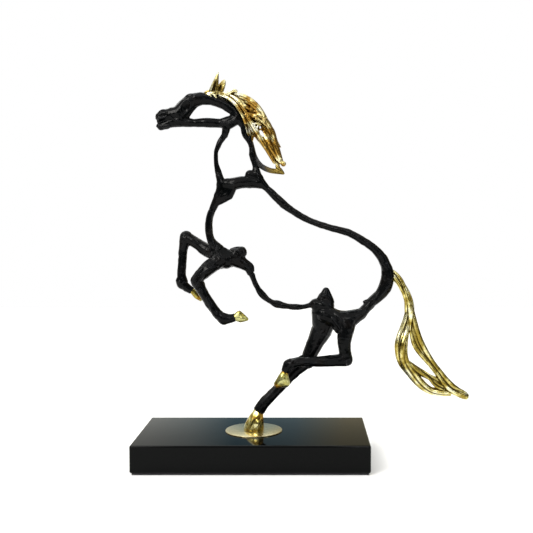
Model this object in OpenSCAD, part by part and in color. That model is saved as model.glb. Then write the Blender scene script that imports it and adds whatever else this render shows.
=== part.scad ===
// A rearing horse drawn in cast strands, on a stone block.
// Origin: centre of the underside of the mat. +Z up, +X toward the tail, +Y to the horse's right.

/* [Stone base] */
// Length of the stone block
base_length = 240; // [220:1:280]
// Width of the stone block
base_width = 120; // [90:1:160]
// Height of the stone block
base_height = 28; // [26:1:40]
// Radius of the block's upright corners
base_corner = 2; // [1:0.5:6]
// Bevel along the block's upper and lower edges
base_bevel = 1; // [0.5:0.25:3]
// Thickness of the foam mat under the block
mat_thickness = 2; // [1:0.5:4]

/* [Brass disc] */
// Diameter of the disc under the hoof
disc_diameter = 60; // [40:1:80]
// Thickness of the disc
disc_thickness = 1; // [0.5:0.25:2]

/* [Anchor bolt] */
// Diameter of the stud
stud_diameter = 6; // [5:0.5:6]
// Depth of the stud in the hoof
stud_grip = 14; // [10:1:15]
// Diameter of the counterbore in the stone
counterbore_diameter = 22; // [20:1:28]
// Depth of the counterbore in the stone
counterbore_depth = 10; // [8:1:12]
// Diameter of the washer
washer_diameter = 18; // [14:1:18]
// Thickness of the washer
washer_thickness = 1.6; // [1:0.2:2]
// Distance across the nut's flats
nut_flats = 10; // [10:1:12]
// Height of the nut
nut_height = 5; // [4:0.5:5]

/* [Horse] */
// Size of the horse, where 1 stands 373 mm above the disc
horse_size = 1; // [0.9:0.01:1.1]
// Depth of a strand for each millimetre of its width
strand_depth = 1.15; // [1:0.05:1.3]

/* [Hidden] */

black = "#1c1c1f";
gold = "#d8a83c";
sides = 12;          // sides of a strand's section
steps = 2;           // rings for each span between two knots
ball_sides = 14;     // sides of a modelled lump
hull_sides = 32;     // sides of a round shape inside a hull
corner_sides = 16;   // sides of a corner of the block
round_sides = 64;    // sides of a turned part
play = 0.05;         // radial clearance of the stud in its holes
stone_play = 0.5;    // radial clearance of the stud in the stone and the disc
stud_tail = 1;       // length of stud below the nut

mat_top = mat_thickness;
stone_top = mat_top + base_height;
disc_top = stone_top + disc_thickness;
seat = mat_top + counterbore_depth;            // face that the washer bears on
nut_top = seat - washer_thickness;
stud_bottom = nut_top - nut_height - stud_tail;
stud_top = disc_top + stud_grip;

// Centre lines of the horse: knots [x, y, z, radius], with z counted from the disc's upper face.
// Throat, shoulder and chest, from the angle of the jaw down to the elbow
front_line = [[-27, 0, 321, 4.5], [-29.5, 0, 309.5, 3], [-33.5, 0, 303, 2.3], [-38, 0, 293.5, 1.9],
    [-39, 0, 283, 2], [-38.5, 0, 276.5, 1.9], [-36.5, 0, 270, 2.7], [-33, 0, 261, 4.5],
    [-35, 0, 250, 4.4], [-39.5, 0, 239.5, 4], [-43.5, 0, 231, 3.3], [-46, 0, 223.5, 3.2],
    [-46.5, 0, 212.5, 3.4], [-45.5, 0, 205, 3.4], [-43, 0, 199, 4], [-36, 0, 191, 6]];
jaw_knot = 1;
throat_knot = 6;
chest_top_knot = 10;
chest_end_knot = 14;

// Crest, withers, back and croup, from the poll round to the buttock
top_line = [[-14, 0, 326, 4.5], [-10.2, 0, 319, 2.5], [-8.5, 0, 311, 2.1], [-4.8, 0, 305.5, 2.1],
    [-1.5, 0, 299, 1.8], [-0.8, 0, 291, 2.7], [0.8, 0, 284, 2.5], [2.8, 0, 278.5, 2.8],
    [4, 0, 269, 4.8], [9, 0, 260.5, 4.5], [16, 0, 254, 2.9], [28, 0, 242.2, 3.3],
    [40, 0, 232.5, 2.8], [55, 0, 223.5, 2.5], [70, 0, 217.5, 2.4], [85, 0, 213, 2.6],
    [100, 0, 209, 2.9], [112, 0, 202.5, 3.2], [124, 0, 194.7, 3.3], [132.5, 0, 186.5, 3.9],
    [138.4, 0, 177, 4.7], [141.3, 0, 165, 5.9], [139, 0, 153, 6.2], [133, 0, 143.5, 5.2],
    [124.5, 0, 136, 4.8], [115, -1, 125.5, 5.2], [104, -5, 119, 8]];
poll_knot = 1;
crest_end_knot = 7;
back_start_knot = 10;
croup_top_knot = 20;
croup_end_knot = 24;

// Belly, from the elbow to the flank
belly_line = [[-8, 0, 203, 5], [-5, 0, 170.5, 3.4], [-1.5, 0, 165, 2.6], [1, 0, 158, 2.1],
    [5.5, 0, 149, 2.2], [12.5, 0, 140.7, 2.3], [20.5, 0, 135.4, 2.2], [28, 0, 133, 3.1],
    [35, 0, 131.6, 2.4], [42, 0, 130.6, 1.8], [51, 0, 130.8, 1.8], [58.5, 0, 132.3, 2.2],
    [64, 0, 134, 5]];
belly_start_knot = 2;
belly_end_knot = 11;

// Forelegs and hind legs, each from its shoulder or thigh to just inside the hoof
left_arm_line = [[-32, -5, 182, 8], [-42.5, -9, 174.7, 6.9], [-48.5, -11, 170, 6.5],
    [-54.5, -12, 164.5, 5.6], [-57.5, -12, 160, 5.8]];
left_shin_line = [[-57.5, -12, 158.5, 5.8], [-52.5, -12, 149, 4.4], [-46, -12, 138.3, 4.3],
    [-37, -12, 125.5, 4.3], [-30.5, -12, 119.9, 4.8]];
left_pastern_line = [[-31, -12, 119.9, 5], [-24.5, -12, 119.7, 4.4], [-19, -12, 121, 3.5],
    [-15, -12, 122, 4]];
right_arm_line = [[-40, 7, 187, 8], [-49.5, 10, 190, 6.8], [-56.7, 11, 194.6, 5.4],
    [-63.7, 12, 199.2, 5.3], [-71.5, 12, 203, 6]];
right_shin_line = [[-72.5, 12, 203, 6], [-75.2, 12, 190.5, 3.8], [-76.5, 12, 174, 3.8],
    [-77.2, 12, 163, 4], [-76, 12, 156, 5.2]];
right_pastern_line = [[-76.5, 12, 154.5, 4.6], [-71.5, 12, 150, 3.7], [-66.5, 12, 147, 3.3],
    [-62, 12, 143, 3.5]];
left_gaskin_line = [[100, -7, 119, 9], [95.5, -11, 98.7, 7.5], [95.7, -12, 88.5, 6.2],
    [97, -12, 78, 6.6]];
left_cannon_line = [[97, -12, 76.8, 6.8], [85, -12, 76, 6], [72, -12, 75, 5.4], [55, -12, 74.3, 4.6],
    [44, -12, 73.8, 4.5], [38, -12, 72.5, 5]];
left_fetlock_line = [[38.5, -12, 73.5, 4.8], [35.5, -12, 69.5, 4.6], [33.6, -12, 64.5, 3.9],
    [32, -12, 60, 4.5]];
right_hind_line = [[77, 4, 121, 12], [71.8, 7.5, 104.5, 10.8], [66, 8, 92.9, 8.5], [60.2, 7.5, 81, 7.4],
    [55.5, 6.5, 71, 6.4], [45, 5, 62.3, 5.2], [35, 4, 52.5, 4.9], [25, 2.5, 42.6, 5],
    [15, 1, 32.7, 5.2], [9.5, 0, 26.5, 5.4], [5.5, 0, 20.5, 5.6], [3.5, 0, 15.5, 7]];
thigh_knot = 1;
cuff_knot = 10;

// Locks of the mane, in the order that they lie from the poll down
mane_locks = [
    [[-37, 0, 352.5, 1.4], [-27, 0, 350, 3.2], [-17, -1, 344, 4.8], [-8.5, -1, 333, 5.6],
        [-0.5, 0, 320, 6], [6.5, 0, 308.5, 5.4], [14, 0, 297, 4.2], [20, -1, 286.5, 3],
        [25.5, -1, 279, 1.4]],
    [[-28, 1, 352.5, 1.8], [-15, 2, 350.5, 3.2], [-4, 3, 346, 4.4], [4, 3, 337, 4.8], [10.5, 2, 326, 5.2],
        [15.5, 1, 314, 5.4], [19, 0, 302, 5.2], [25, 0, 291.5, 4.2], [31.5, -1, 281.5, 1.4]],
    [[-32, -2, 351, 1.8], [-27.5, -3, 354, 1.8], [-21.5, -3, 356.5, 0.7]],
    [[-14, 3, 349, 2.4], [-8, 4, 351, 1.8], [-2.5, 4, 349, 0.7]],
    [[5, -4, 331, 3], [10.5, -5, 328.5, 2], [15.5, -5, 326.5, 0.6]],
    [[17, 3, 310, 3.4], [22, 4, 303, 2.6], [29, 4, 297.5, 0.7]]];
lower_lock = [[2, 0, 278.5, 2.4], [8, 0, 278.5, 2], [15, 0, 275.2, 1.8], [22, 0, 273.3, 1.8],
    [27, 0, 272.5, 2.6], [31, 0, 270.5, 0.8]];

// Strands of the tail: the dock, the two side branches and the middle strand
tail_strands = [
    [[144, 0, 164, 3.4], [150.5, 0, 162.3, 3.2], [155, 0, 158, 3.3], [159.5, 0, 149.5, 3.8],
        [163.5, 0, 137.5, 3.6], [165.3, 0, 124, 4.8], [165.5, 0, 112, 5.5]],
    [[164, 0, 119, 5], [159, -1, 105, 4.6], [155.2, -2, 94, 6.2], [155.7, -2, 82, 6],
        [159, -1, 72, 5.6], [167, 0, 62, 5.4], [177, 1, 49, 4.6], [186, 1, 41.5, 3.2],
        [197, 1, 39, 2.6], [207, 0, 41, 4]],
    [[166.5, 0, 119, 5], [171.5, 1, 103, 4.2], [175, 2, 91, 5.2], [182, 2, 80, 3.6],
        [190, 1, 69, 2.5], [195.5, 0, 61, 3.6], [201, 0, 52, 5.2], [209, 0, 43.5, 5.4],
        [217, 0, 39, 3.8], [228, 0, 34.5, 0.9]],
    [[163, -1, 71, 4], [170.5, -2, 65.5, 3.6], [177, -2, 60.5, 3], [184, -1, 57, 2.1],
        [191, 0, 53.5, 2.8], [199, 0, 49, 4]]];

sole_radius = 11;          // radius of the standing hoof where it meets the disc
tail_root_cut = 147.2;     // plane across the dock where the tail meets the croup

function unit(v) = v / norm(v);
function place(knot) = [knot.x, knot.y, knot.z];

// Point between knots b and c of a Catmull-Rom line that also passes through a and d
function between(a, b, c, d, t) = 0.5 * (2 * b + (c - a) * t + (2 * a - 5 * b + 4 * c - d) * t * t
    + (3 * b - a - 3 * c + d) * t * t * t);
function smooth(knots) = let(last = len(knots) - 1) [
    for (i = [0 : last - 1], s = [0 : steps - 1])
        between(knots[max(i - 1, 0)], knots[i], knots[i + 1], knots[min(i + 2, last)], s / steps),
    knots[last]];

// Section across a smoothed line at its i-th point, an oval that is wider across the horse
function ring(line, i) = let(
        last = len(line) - 1,
        ahead = unit(place(line[min(i + 1, last)]) - place(line[max(i - 1, 0)])),
        side = unit(cross([0, 1, 0], ahead)),
        depth = cross(ahead, side) * strand_depth)
    [for (s = [0 : sides - 1]) let(turn = 360 * s / sides)
        place(line[i]) + line[i][3] * (cos(turn) * side + sin(turn) * depth)];

// Solid strand along a line of knots, from one knot to another
module strand(knots, first = 0, last = -1) {
    line = smooth(knots);
    from = first * steps;
    to = last < 0 ? len(line) - 1 : last * steps;
    rows = to - from;
    polyhedron(
        points = [for (i = [from : to]) each ring(line, i)],
        faces = [
            [for (s = [0 : sides - 1]) s],
            [for (s = [sides - 1 : -1 : 0]) rows * sides + s],
            for (r = [0 : rows - 1], s = [0 : sides - 1])
                let(a = r * sides + s, b = r * sides + (s + 1) % sides)
                each [[a, a + sides, b], [b, a + sides, b + sides]]],
        convexity = 6);
}

// Lump pulled over balls [x, y, z, radius]
module lump(balls) {
    hull()
        for (b = balls)
            translate(place(b)) scale([1, 1, 1] * b[3]) sphere(r = 1, $fn = ball_sides);
}

// Strands and lumps chased into one skin
module chased() {
    resize([0, 0, 0]) union() children();
}

// Puts a piece of the horse on the disc
module on_disc() {
    translate([0, 0, disc_top]) scale(horse_size) children();
}

// Block with rounded upright corners and bevelled edges, standing on Z = 0
module bevelled_block(size, corner, bevel) {
    hull()
        for (x = [-1, 1], y = [-1, 1])
            translate([x * (size.x / 2 - corner), y * (size.y / 2 - corner), 0]) {
                translate([0, 0, bevel]) cylinder(r = corner, h = size.z - 2 * bevel, $fn = corner_sides);
                cylinder(r = max(corner - bevel, 0.1), h = size.z, $fn = corner_sides);
            }
}

module base_mat() {
    inset = 2;
    color("#26262a")
        linear_extrude(mat_thickness)
            square([base_length - 2 * inset, base_width - 2 * inset], center = true);
}

module marble_base() {
    color("#121417")
        translate([0, 0, mat_top])
            difference() {
                bevelled_block([base_length, base_width, base_height], base_corner, base_bevel);
                translate([0, 0, -1])
                    cylinder(d = counterbore_diameter, h = counterbore_depth + 1, $fn = round_sides);
                cylinder(r = stud_diameter / 2 + stone_play, h = base_height + 1, $fn = round_sides);
            }
}

module brass_disc() {
    color("#b9ab8c")
        translate([0, 0, stone_top])
            difference() {
                cylinder(d = disc_diameter, h = disc_thickness, $fn = round_sides);
                translate([0, 0, -1])
                    cylinder(r = stud_diameter / 2 + stone_play, h = disc_thickness + 2, $fn = round_sides);
            }
}

module anchor_stud() {
    color("silver")
        translate([0, 0, stud_bottom])
            cylinder(d = stud_diameter, h = stud_top - stud_bottom, $fn = round_sides);
}

module anchor_washer() {
    color("silver")
        translate([0, 0, nut_top])
            difference() {
                cylinder(d = washer_diameter, h = washer_thickness, $fn = round_sides);
                translate([0, 0, -1])
                    cylinder(r = stud_diameter / 2 + stone_play / 2, h = washer_thickness + 2,
                        $fn = round_sides);
            }
}

module anchor_nut() {
    color("silver")
        translate([0, 0, nut_top - nut_height])
            difference() {
                cylinder(d = nut_flats / cos(30), h = nut_height, $fn = 6);
                translate([0, 0, -1])
                    cylinder(r = stud_diameter / 2 + play, h = nut_height + 2, $fn = round_sides);
            }
}

// Skull in open work: muzzle, forehead bar, jaw bar and throat latch round one window
module head_form() {
    lump([[-96, 0, 329.5, 5], [-90, 0, 331, 6]]);
    lump([[-90, 0, 331, 6], [-77, 0, 332.5, 8]]);
    lump([[-77, 0, 332.5, 8], [-70.5, 0, 339.5, 8]]);
    lump([[-95.5, 0, 319.5, 3.8], [-86, 0, 323, 4.5]]);
    lump([[-86, 0, 323, 4.5], [-76, 0, 326.5, 7]]);
    lump([[-70.5, 0, 339.5, 8], [-64, 0, 345.5, 7.5]]);
    lump([[-64, 0, 345.5, 7.5], [-53.5, 0, 348.3, 6.2]]);
    lump([[-53.5, 0, 348.3, 6.2], [-43, 0, 347.3, 5.4]]);
    lump([[-43, 0, 347.3, 5.4], [-30, 0, 342.3, 4.9]]);
    lump([[-30, 0, 342.3, 4.9], [-20, 0, 335.8, 4.8]]);
    lump([[-20, 0, 335.8, 4.8], [-16, 0, 327.5, 5.5]]);
    lump([[-76, 0, 325, 5.8], [-62, 0, 323, 3.8]]);
    lump([[-62, 0, 323, 3.8], [-49, 0, 323.5, 4.6]]);
    lump([[-49, 0, 323.5, 4.6], [-34, 0, 322.8, 4.4]]);
    lump([[-34, 0, 322.8, 4.4], [-25, 0, 322.5, 5.6], [-16, 0, 327.5, 5.5]]);
    strand(front_line, 0, jaw_knot);
    strand(top_line, 0, poll_knot);
}

module head() {
    color(black) on_disc() chased() head_form();
}

module throat_strand() {
    color(black) on_disc() strand(front_line, jaw_knot, throat_knot);
}

module crest_strand() {
    color(black) on_disc() strand(top_line, poll_knot, crest_end_knot);
}

// Bar from the chest to the withers, with the web under its left end and the knuckle at its right
module shoulder_form() {
    strand(front_line, throat_knot, chest_top_knot);
    strand(top_line, crest_end_knot, back_start_knot);
    lump([[-31, 0, 259.5, 5], [-20, 0, 260, 6.2]]);
    lump([[-20, 0, 260, 6.2], [-12, 0, 261.7, 6]]);
    lump([[-12, 0, 261.7, 6], [-2, 0, 262, 5.8]]);
    lump([[-2, 0, 262, 5.8], [8, 0, 260.5, 5.4]]);
    lump([[-3, 0, 269, 5], [4, 0, 268, 5]]);
    lump([[-33, 0, 257, 4.5], [-21, 0, 256.5, 4], [-25, 0, 247.5, 4], [-36, 0, 242, 4]]);
}

module shoulder_bridge() {
    color(black) on_disc() chased() shoulder_form();
}

module chest_strand() {
    color(black) on_disc() strand(front_line, chest_top_knot, chest_end_knot);
}

// Mass that both forelegs, the chest and the belly strand spring from
module elbow_hub() {
    color(black) on_disc() chased() {
        strand(front_line, chest_end_knot, len(front_line) - 1);
        strand(left_arm_line, 0, 1);
        strand(right_arm_line, 0, 1);
        strand(belly_line, 1, belly_start_knot);
        lump([[-38, 1, 190, 7], [-28, 0, 182, 9]]);
        lump([[-28, 0, 182, 9], [-18, 0, 182.5, 8.5]]);
        lump([[-18, 0, 185, 8], [-12.5, 0, 188.5, 5.8]]);
        lump([[-18, 0, 181, 8], [-5.5, 0, 172.5, 4]]);
        lump([[-36, -4, 181, 8], [-28, -3, 179.5, 8]]);
        lump([[-40, 5, 188.5, 8], [-30, 4, 184, 8]]);
        lump([[-6, 0, 173, 4.2], [-3, 0, 171.5, 3.6]]);
    }
}

module belly_strand() {
    color(black) on_disc() strand(belly_line, belly_start_knot, belly_end_knot);
}

module back_strand() {
    color(black) on_disc() strand(top_line, back_start_knot, croup_top_knot);
}

module croup() {
    color(black) on_disc() strand(top_line, croup_top_knot, croup_end_knot);
}

// Stifle peak and both thighs, from the flank to the buttock
module haunch() {
    color(black) on_disc() chased() {
        strand(belly_line, belly_end_knot, len(belly_line) - 1);
        strand(top_line, croup_end_knot, len(top_line) - 1);
        strand(left_gaskin_line, 0, 1);
        strand(right_hind_line, 0, thigh_knot);
        lump([[66, 0, 134, 5.5], [76, -1, 132, 9], [72, 2, 126, 9.5]]);
        lump([[76.5, -1, 147.5, 3.6], [73, -1, 138, 6], [79.5, -1, 136, 5.5]]);
        lump([[73, 3, 124, 11.5], [73, 5, 112, 11]]);
        lump([[76, -3, 123, 9.5], [90, -6, 118, 9.5]]);
        lump([[90, -6, 117.5, 10], [101, -6, 118.5, 9]]);
        lump([[101, -6, 118.5, 9], [113.5, -2, 124.5, 5]]);
        lump([[92, -7, 112, 9], [98, -8, 108, 8]]);
    }
}

module left_foreleg() {
    color(black) on_disc() chased() {
        strand(left_arm_line, 1, len(left_arm_line) - 1);
        strand(left_shin_line);
        strand(left_pastern_line, 0, len(left_pastern_line) - 2);
        lump([[-57.5, -12, 159.5, 6.2], [-57, -12, 157, 5.6]]);
        lump([[-32.5, -12, 121, 4.6], [-30, -12, 119.5, 5.6]]);
    }
}

module right_foreleg() {
    color(black) on_disc() chased() {
        strand(right_arm_line, 1, len(right_arm_line) - 1);
        strand(right_shin_line);
        strand(right_pastern_line, 0, len(right_pastern_line) - 2);
        lump([[-72, 12, 204, 6.2], [-72.5, 12, 200.5, 6]]);
        lump([[-77.5, 12, 157.5, 5.4], [-76.5, 12, 154.5, 5.4]]);
    }
}

module left_hind_leg() {
    color(black) on_disc() chased() {
        strand(left_gaskin_line, 1, len(left_gaskin_line) - 1);
        strand(left_cannon_line);
        strand(left_fetlock_line, 0, len(left_fetlock_line) - 2);
        lump([[97, -12, 78.5, 6.8], [98, -12, 76.5, 6]]);
        lump([[39, -12, 73, 5], [36.5, -12, 71.5, 5]]);
    }
}

module right_hind_leg() {
    color(black) on_disc() chased() {
        strand(right_hind_line, thigh_knot, cuff_knot);
        lump([[59, 7, 74, 6.4], [58, 7, 70.5, 5.8]]);
    }
}

module ears_and_forelock() {
    color(gold) on_disc() chased()
        difference() {
            union() {
                lump([[-50, 0, 353, 1.6], [-44, 0, 353, 2.6]]);
                lump([[-44, 0, 353, 2.6], [-37, 0, 352.5, 3.6]]);
                lump([[-41, -3.5, 355, 3.4], [-40, -5, 361, 2.8]]);
                lump([[-40, -5, 361, 2.8], [-34.5, -5.5, 372.4, 0.6]]);
                lump([[-35, 3.5, 354, 3], [-32.5, 4.5, 360, 2.4]]);
                lump([[-32.5, 4.5, 360, 2.4], [-29.5, 5, 365.5, 1]]);
            }
            head_form();
        }
}

module mane_form() {
    for (lock = mane_locks)
        strand(lock);
    lump([[30, -1, 281, 1.4], [32.2, -1, 280.2, 2]]);
}

module mane() {
    color(gold) on_disc() chased()
        difference() {
            mane_form();
            head_form();
            strand(top_line, poll_knot, crest_end_knot);
            lump([[-44, 0, 353, 2.6], [-37, 0, 352.5, 3.6]]);
            lump([[-35, 3.5, 354, 3], [-32.5, 4.5, 360, 2.4]]);
        }
}

module mane_lower_lock() {
    color("#8a6a2a") on_disc() chased()
        difference() {
            strand(lower_lock);
            strand(top_line, poll_knot, crest_end_knot);
            shoulder_form();
            mane_form();
        }
}

module tail() {
    color(gold) on_disc() chased()
        difference() {
            union()
                for (s = tail_strands)
                    strand(s);
            strand(top_line, croup_top_knot, croup_end_knot);
            translate([tail_root_cut - 40, -20, 140]) cube([40, 40, 40]);
        }
}

module left_fore_hoof() {
    color(gold) on_disc()
        hull() {
            strand(left_pastern_line, len(left_pastern_line) - 2, len(left_pastern_line) - 1);
            for (b = [[-13.5, -12, 127, 1.8], [-13, -12, 120.3, 3.6], [-5.5, -12, 119.7, 1.8]])
                translate(place(b)) sphere(r = b[3], $fn = ball_sides);
        }
}

module right_fore_hoof() {
    color(gold) on_disc()
        hull() {
            strand(right_pastern_line, len(right_pastern_line) - 2, len(right_pastern_line) - 1);
            for (b = [[-63, 12, 143, 2.6], [-57, 12, 137.5, 1.6], [-60.5, 12, 144, 2]])
                translate(place(b)) sphere(r = b[3], $fn = ball_sides);
        }
}

module left_hind_hoof() {
    color(gold) on_disc()
        hull() {
            strand(left_fetlock_line, len(left_fetlock_line) - 2, len(left_fetlock_line) - 1);
            for (b = [[32, -12, 57, 5.5], [26, -12, 51.5, 3], [34, -12, 52.5, 3.4]])
                translate(place(b)) sphere(r = b[3], $fn = ball_sides);
        }
}

// Standing hoof, flat on the disc, bored from below for the stud
module right_hind_hoof() {
    color(gold) on_disc()
        difference() {
            hull() {
                strand(right_hind_line, cuff_knot, cuff_knot + 1);
                cylinder(r = sole_radius, h = 2, $fn = hull_sides);
                translate([1, 0, 8]) cylinder(r = sole_radius - 1, h = 1, $fn = hull_sides);
            }
            translate([0, 0, -1])
                cylinder(r = stud_diameter / 2 / horse_size + play, h = 1 + stud_grip / horse_size + 1,
                    $fn = round_sides);
        }
}

base_mat();
marble_base();
brass_disc();
anchor_stud();
anchor_washer();
anchor_nut();
head();
throat_strand();
crest_strand();
shoulder_bridge();
chest_strand();
elbow_hub();
belly_strand();
back_strand();
croup();
haunch();
left_foreleg();
right_foreleg();
left_hind_leg();
right_hind_leg();
ears_and_forelock();
mane();
mane_lower_lock();
tail();
left_fore_hoof();
right_fore_hoof();
left_hind_hoof();
right_hind_hoof();
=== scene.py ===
import itertools
import math
import random

import bpy
import numpy as np
from mathutils import Matrix, Vector
from mathutils.bvhtree import BVHTree


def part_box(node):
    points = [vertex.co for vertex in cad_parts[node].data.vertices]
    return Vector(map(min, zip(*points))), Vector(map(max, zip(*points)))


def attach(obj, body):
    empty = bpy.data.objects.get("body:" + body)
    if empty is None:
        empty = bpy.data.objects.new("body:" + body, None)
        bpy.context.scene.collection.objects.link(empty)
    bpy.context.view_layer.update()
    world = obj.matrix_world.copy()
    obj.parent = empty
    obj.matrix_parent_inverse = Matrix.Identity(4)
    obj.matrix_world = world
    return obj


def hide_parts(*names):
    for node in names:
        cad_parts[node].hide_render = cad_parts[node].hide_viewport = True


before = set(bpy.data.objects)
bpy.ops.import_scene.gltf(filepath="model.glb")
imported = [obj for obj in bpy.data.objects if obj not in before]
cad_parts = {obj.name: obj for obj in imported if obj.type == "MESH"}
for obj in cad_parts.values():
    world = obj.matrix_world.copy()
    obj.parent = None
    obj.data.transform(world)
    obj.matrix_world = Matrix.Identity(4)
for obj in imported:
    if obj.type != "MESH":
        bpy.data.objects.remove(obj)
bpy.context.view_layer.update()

mm = 0.001


def pick(*pieces):
    if bpy.context.object and bpy.context.object.mode != "OBJECT":
        bpy.ops.object.mode_set(mode="OBJECT")
    bpy.ops.object.select_all(action="DESELECT")
    for piece in pieces:
        piece.select_set(True)
    bpy.context.view_layer.objects.active = pieces[0]


def settle(piece):
    pick(piece)
    bpy.ops.object.transform_apply(location=True, rotation=True, scale=True)
    return piece


def modify(piece, kind, **settings):
    pick(piece)
    modifier = piece.modifiers.new(kind.lower(), kind)
    for name, value in settings.items():
        setattr(modifier, name, value)
    bpy.ops.object.modifier_apply(modifier=modifier.name)
    return piece


def joined(name, pieces):
    pick(*pieces)
    bpy.ops.object.join()
    piece = bpy.context.object
    piece.name = piece.data.name = name
    return piece


# Runs one edit-mode operator on the whole of a piece
def onAll(piece, operator, **settings):
    pick(piece)
    bpy.ops.object.mode_set(mode="EDIT")
    bpy.ops.mesh.select_all(action="SELECT")
    operator(**settings)
    bpy.ops.object.mode_set(mode="OBJECT")
    return piece


def mergeDoubles(piece):
    return onAll(piece, bpy.ops.mesh.remove_doubles, threshold=0.001 * mm)


def nodeCopy(node, name):
    piece = bpy.data.objects.new(name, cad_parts[node].data.copy())
    bpy.context.collection.objects.link(piece)
    return mergeDoubles(piece)


def meshCopy(piece, name, matrix):
    twin = bpy.data.objects.new(name, piece.data.copy())
    twin.data.transform(matrix)
    bpy.context.collection.objects.link(twin)
    return twin


def remove(piece):
    bpy.data.objects.remove(piece, do_unlink=True)


def cut(piece, cutter, operation="DIFFERENCE"):
    modify(piece, "BOOLEAN", operation=operation, object=cutter, solver="EXACT")
    remove(cutter)
    return piece


def voxelSkin(piece, voxel, smoothing):
    modify(piece, "REMESH", mode="VOXEL", voxel_size=voxel)
    return modify(piece, "SMOOTH", factor=0.5, iterations=smoothing)


def ripple(piece, size, depth, level=0.5):
    texture = bpy.data.textures.new(piece.name + "Ripple", "CLOUDS")
    texture.noise_scale = size
    texture.noise_depth = 1
    return modify(piece, "DISPLACE", texture=texture, strength=depth, mid_level=level)


def smoothShade(piece, angle=35):
    pick(piece)
    bpy.ops.object.shade_smooth_by_angle(angle=math.radians(angle))
    return piece


# How far each corner stands proud of the form around it, kept on the mesh as the attribute "crest":
# 0.5 on even ground, 1 on the sharpest crests, 0 in the deepest hollows
def markCrests(piece, sweeps=30):
    calm = meshCopy(piece, "calm", Matrix())
    modify(calm, "SMOOTH", factor=0.5, iterations=sweeps)
    own, even, normals = np.empty((3, 3 * len(piece.data.vertices)))
    piece.data.vertices.foreach_get("co", own)
    calm.data.vertices.foreach_get("co", even)
    piece.data.vertices.foreach_get("normal", normals)
    proud = ((own - even) * normals).reshape(-1, 3).sum(axis=1)
    crest = piece.data.attributes.new("crest", "FLOAT", "POINT")
    crest.data.foreach_set("value", np.clip(0.5 + (proud - np.median(proud)) / (5 * proud.std()), 0, 1))
    remove(calm)
    return piece


def smoothLine(knots, steps=5):
    rows = [knots[0]] + list(knots) + [knots[-1]]
    line = []
    for a, b, c, d in zip(rows, rows[1:], rows[2:], rows[3:]):
        for step in range(steps):
            t = step / steps
            line.append([0.5 * (2 * q + (r - p) * t + (2 * p - 5 * q + 4 * r - s) * t * t
                                + (3 * q - p - 3 * r + s) * t ** 3)
                         for p, q, r, s in zip(a, b, c, d)])
    return line + [list(knots[-1])]


# Round cords through lines of [x, y, z, radius], all in millimetres
def cords(name, lines):
    curve = bpy.data.curves.new(name, "CURVE")
    curve.dimensions = "3D"
    curve.bevel_depth = mm
    curve.bevel_resolution = 2
    curve.use_fill_caps = True
    for line in lines:
        spline = curve.splines.new("POLY")
        spline.points.add(len(line) - 1)
        for point, (x, y, z, radius) in zip(spline.points, line):
            point.co = (x * mm, y * mm, z * mm, 1)
            point.radius = max(radius, 0.15)
    piece = bpy.data.objects.new(name, curve)
    bpy.context.collection.objects.link(piece)
    pick(piece)
    bpy.ops.object.convert(target="MESH")
    return mergeDoubles(bpy.context.object)


# Cords wound round a centre line of knots [x, y, z, radius]
def bundle(knots, count, turns, seed, spread=0.55, thick=0.5):
    dice = random.Random(seed)
    line = smoothLine(knots)
    lines = [[row[:3] + [row[3] * 0.62] for row in line]]
    for k in range(count):
        phase = 2 * math.pi * k / count + dice.uniform(-0.25, 0.25)
        fat = thick * dice.uniform(0.84, 1.16)
        sway = dice.uniform(0, 2 * math.pi)
        strand = []
        for i, row in enumerate(line):
            ahead = Vector(line[min(i + 1, len(line) - 1)][:3]) - Vector(line[max(i - 1, 0)][:3])
            side = Vector((0, 1, 0)).cross(ahead).normalized()
            depth = ahead.normalized().cross(side)
            t = i / (len(line) - 1)
            angle = phase + turns * 2 * math.pi * t + 0.25 * math.sin(9 * t + sway)
            place = Vector(row[:3]) + row[3] * spread * (math.cos(angle) * side + math.sin(angle) * depth)
            strand.append([*place, row[3] * fat])
        lines.append(strand)
    return lines


# A line of [x, z, radius] laid on the near or far face of a form, sunk by part of its radius
def laidOn(tree, knots, face, sink=0.45):
    line = smoothLine([[x, z, radius] for x, z, radius in knots])
    depths = []
    for x, z, radius in line:
        hit = tree.ray_cast(Vector((x * mm, face * 0.1, z * mm)), Vector((0, -face, 0)))[0]
        depths.append(hit.y / mm if hit else None)
    for i, (x, z, radius) in enumerate(line):       # past an edge, the line bends in to the nearest face
        if depths[i] is None:
            hit = tree.find_nearest(Vector((x, face * 12, z)) * mm)[0]
            reach = min(1, 1.5 / max(1, math.dist((x, z), (hit.x / mm, hit.z / mm))))
            line[i] = [x + (hit.x / mm - x) * reach, z + (hit.z / mm - z) * reach, radius * 0.8]
            depths[i] = hit.y / mm
    for sweep in range(3):
        depths = [(depths[max(i - 1, 0)] + 2 * d + depths[min(i + 1, len(depths) - 1)]) / 4
                  for i, d in enumerate(depths)]
    return [[x, d - face * radius * sink, z, radius] for (x, z, radius), d in zip(line, depths)]


def treeOf(pieces):
    points, faces, owners = [], [], []
    for piece in pieces:
        start = len(points)
        points += [v.co.copy() for v in piece.data.vertices]
        faces += [[start + i for i in f.vertices] for f in piece.data.polygons]
        owners += [piece.name] * len(piece.data.polygons)
    return BVHTree.FromPolygons(points, faces), owners


def paint(code):
    channels = [int(code[i:i + 2], 16) / 255 for i in (1, 3, 5)]
    return tuple(c / 12.92 if c <= 0.04045 else ((c + 0.055) / 1.055) ** 2.4 for c in channels) + (1,)


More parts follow.
